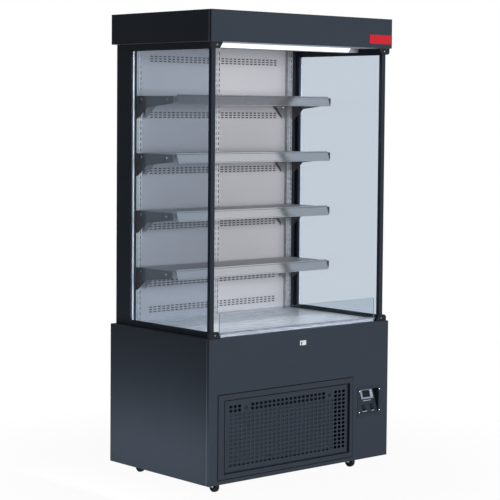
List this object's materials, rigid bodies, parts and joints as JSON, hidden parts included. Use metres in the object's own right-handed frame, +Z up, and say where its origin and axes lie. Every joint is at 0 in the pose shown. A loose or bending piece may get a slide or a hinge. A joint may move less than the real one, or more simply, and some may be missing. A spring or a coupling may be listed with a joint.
{
  "type": "open multideck display fridge",
  "caption": "Open-front refrigerated display: shelves and deck between glazed sides, glass riser, machine compartment below, lit header with night curtain, swivel casters.",
  "frame": {"origin": "on the floor, under the middle of the overall box", "axes": "+X to the right of someone facing the open front, +Y from the front to the back, +Z up"},
  "size_m": [1.052, 0.702, 2],
  "materials": {
    "charcoal_paint": "satin charcoal powder coat",
    "black_paint": "satin black powder coat",
    "black_plastic": "moulded matte",
    "grey_paint": "satin light grey",
    "galvanised": "zinc coated",
    "stainless": "brushed",
    "polished_steel": "polished",
    "insulation_skin": "matte skin over foam",
    "clear_glass": "clear, polished edges",
    "light_plastic": "opal diffuser",
    "badge_red": "gloss",
    "screen_black": "gloss",
    "controller_grey": "moulded",
    "button_grey": "moulded",
    "curtain_cloth": "woven, metallised",
    "coil_metal": "mill",
    "motor_black": "gloss black"
  },
  "bodies": {
    "cabinet": {"base_left_panel": "charcoal_paint", "base_right_panel": "charcoal_paint", "base_front_panel": "charcoal_paint", "base_back_panel": "charcoal_paint", "base_chassis": "galvanised", "grille_frame": "charcoal_paint", "grille_panel": "charcoal_paint", "control_housing": "black_plastic", "controller_body": "controller_grey", "controller_screen": "screen_black", "curtain_catch": "polished_steel", "insulated_tub": "insulation_skin", "deck_pan": "stainless", "front_lip": "grey_paint", "front_glass": "clear_glass", "rear_wall": "insulation_skin", "upright_left": "galvanised", "upright_centre": "galvanised", "upright_right": "galvanised", "back_panel": "grey_paint", "shelf_1": "grey_paint", "shelf_2": "grey_paint", "shelf_3": "grey_paint", "shelf_4": "grey_paint", "ticket_rail_1": "grey_paint", "ticket_rail_2": "grey_paint", "ticket_rail_3": "grey_paint", "ticket_rail_4": "grey_paint", "side_frame_left": "black_paint", "side_frame_right": "black_paint", "side_glass_left": "clear_glass", "side_glass_right": "clear_glass", "header_front": "charcoal_paint", "header_cover": "charcoal_paint", "header_ceiling": "grey_paint", "light_bar": "galvanised", "light_diffuser": "light_plastic", "badge_plate": "badge_red", "compressor": "motor_black", "condenser": "coil_metal", "evaporator": "coil_metal", "cable_inlet": "black_plastic", "curtain_sheet": "curtain_cloth"},
    "curtain_roller": {"curtain_roller": "curtain_cloth"},
    "curtain_bar": {"curtain_bar": "galvanised"},
    "condenser_fan": {"condenser_fan": "motor_black"},
    "evaporator_fan": {"evaporator_fan": "motor_black"},
    "rocker_left": {"rocker_left": "black_plastic"},
    "rocker_right": {"rocker_right": "black_plastic"},
    "controller_button_1": {"controller_button_1": "button_grey"},
    "controller_button_2": {"controller_button_2": "button_grey"},
    "controller_button_3": {"controller_button_3": "button_grey"},
    "caster_front_left": {"caster_fork_front_left": "galvanised"},
    "caster_front_right": {"caster_fork_front_right": "galvanised"},
    "caster_rear_left": {"caster_fork_rear_left": "galvanised"},
    "caster_rear_right": {"caster_fork_rear_right": "galvanised"},
    "wheel_front_left": {"caster_wheel_front_left": "black_plastic"},
    "wheel_front_right": {"caster_wheel_front_right": "black_plastic"},
    "wheel_rear_left": {"caster_wheel_rear_left": "black_plastic"},
    "wheel_rear_right": {"caster_wheel_rear_right": "black_plastic"}
  },
  "joints": [
    {"name": "curtain_slide", "type": "slide", "parent": "cabinet", "child": "curtain_bar", "axis": [0, 0, -1], "range_m": [0, 1.215], "stiffness_N_per_m": 10, "springref_m": -1.5, "deforming": ["curtain_sheet"]},
    {"name": "roller_spin", "type": "hinge", "parent": "cabinet", "child": "curtain_roller", "pos_m": [0, -0.313, 1.895], "axis": [1, 0, 0], "range_deg": [0, 3880]},
    {"name": "condenser_fan_spin", "type": "hinge", "parent": "cabinet", "child": "condenser_fan", "pos_m": [-0.09, -0.233, 0.236], "axis": [0, 1, 0], "continuous": true},
    {"name": "evaporator_fan_spin", "type": "hinge", "parent": "cabinet", "child": "evaporator_fan", "pos_m": [0, -0.105, 0.577], "axis": [0, 1, 0], "continuous": true},
    {"name": "rocker_left_tilt", "type": "hinge", "parent": "cabinet", "child": "rocker_left", "pos_m": [0.389, -0.33373, 0.26487], "axis": [1, 0, 0], "range_deg": [0, 14]},
    {"name": "rocker_right_tilt", "type": "hinge", "parent": "cabinet", "child": "rocker_right", "pos_m": [0.438, -0.33373, 0.26487], "axis": [1, 0, 0], "range_deg": [0, 14]},
    {"name": "button_1_press", "type": "slide", "parent": "cabinet", "child": "controller_button_1", "axis": [0, 0.953, -0.3028], "range_m": [0, 0.0006], "stiffness_N_per_m": 400, "springref_m": -0.001},
    {"name": "button_2_press", "type": "slide", "parent": "cabinet", "child": "controller_button_2", "axis": [0, 0.953, -0.3028], "range_m": [0, 0.0006], "stiffness_N_per_m": 400, "springref_m": -0.001},
    {"name": "button_3_press", "type": "slide", "parent": "cabinet", "child": "controller_button_3", "axis": [0, 0.953, -0.3028], "range_m": [0, 0.0006], "stiffness_N_per_m": 400, "springref_m": -0.001},
    {"name": "swivel_front_left", "type": "hinge", "parent": "cabinet", "child": "caster_front_left", "pos_m": [-0.458, -0.284, 0.06], "axis": [0, 0, 1], "continuous": true},
    {"name": "swivel_front_right", "type": "hinge", "parent": "cabinet", "child": "caster_front_right", "pos_m": [0.335, -0.284, 0.06], "axis": [0, 0, 1], "continuous": true},
    {"name": "swivel_rear_left", "type": "hinge", "parent": "cabinet", "child": "caster_rear_left", "pos_m": [-0.458, 0.221, 0.06], "axis": [0, 0, 1], "continuous": true},
    {"name": "swivel_rear_right", "type": "hinge", "parent": "cabinet", "child": "caster_rear_right", "pos_m": [0.335, 0.221, 0.06], "axis": [0, 0, 1], "continuous": true},
    {"name": "roll_front_left", "type": "hinge", "parent": "caster_front_left", "child": "wheel_front_left", "pos_m": [-0.458, -0.302, 0.025], "axis": [1, 0, 0], "continuous": true},
    {"name": "roll_front_right", "type": "hinge", "parent": "caster_front_right", "child": "wheel_front_right", "pos_m": [0.335, -0.302, 0.025], "axis": [1, 0, 0], "continuous": true},
    {"name": "roll_rear_left", "type": "hinge", "parent": "caster_rear_left", "child": "wheel_rear_left", "pos_m": [-0.458, 0.203, 0.025], "axis": [1, 0, 0], "continuous": true},
    {"name": "roll_rear_right", "type": "hinge", "parent": "caster_rear_right", "child": "wheel_rear_right", "pos_m": [0.335, 0.203, 0.025], "axis": [1, 0, 0], "continuous": true}
  ],
  "couplings": [
    {"joint": "roller_spin", "follows": "curtain_slide", "rad_per_m": 55.556}
  ]
}
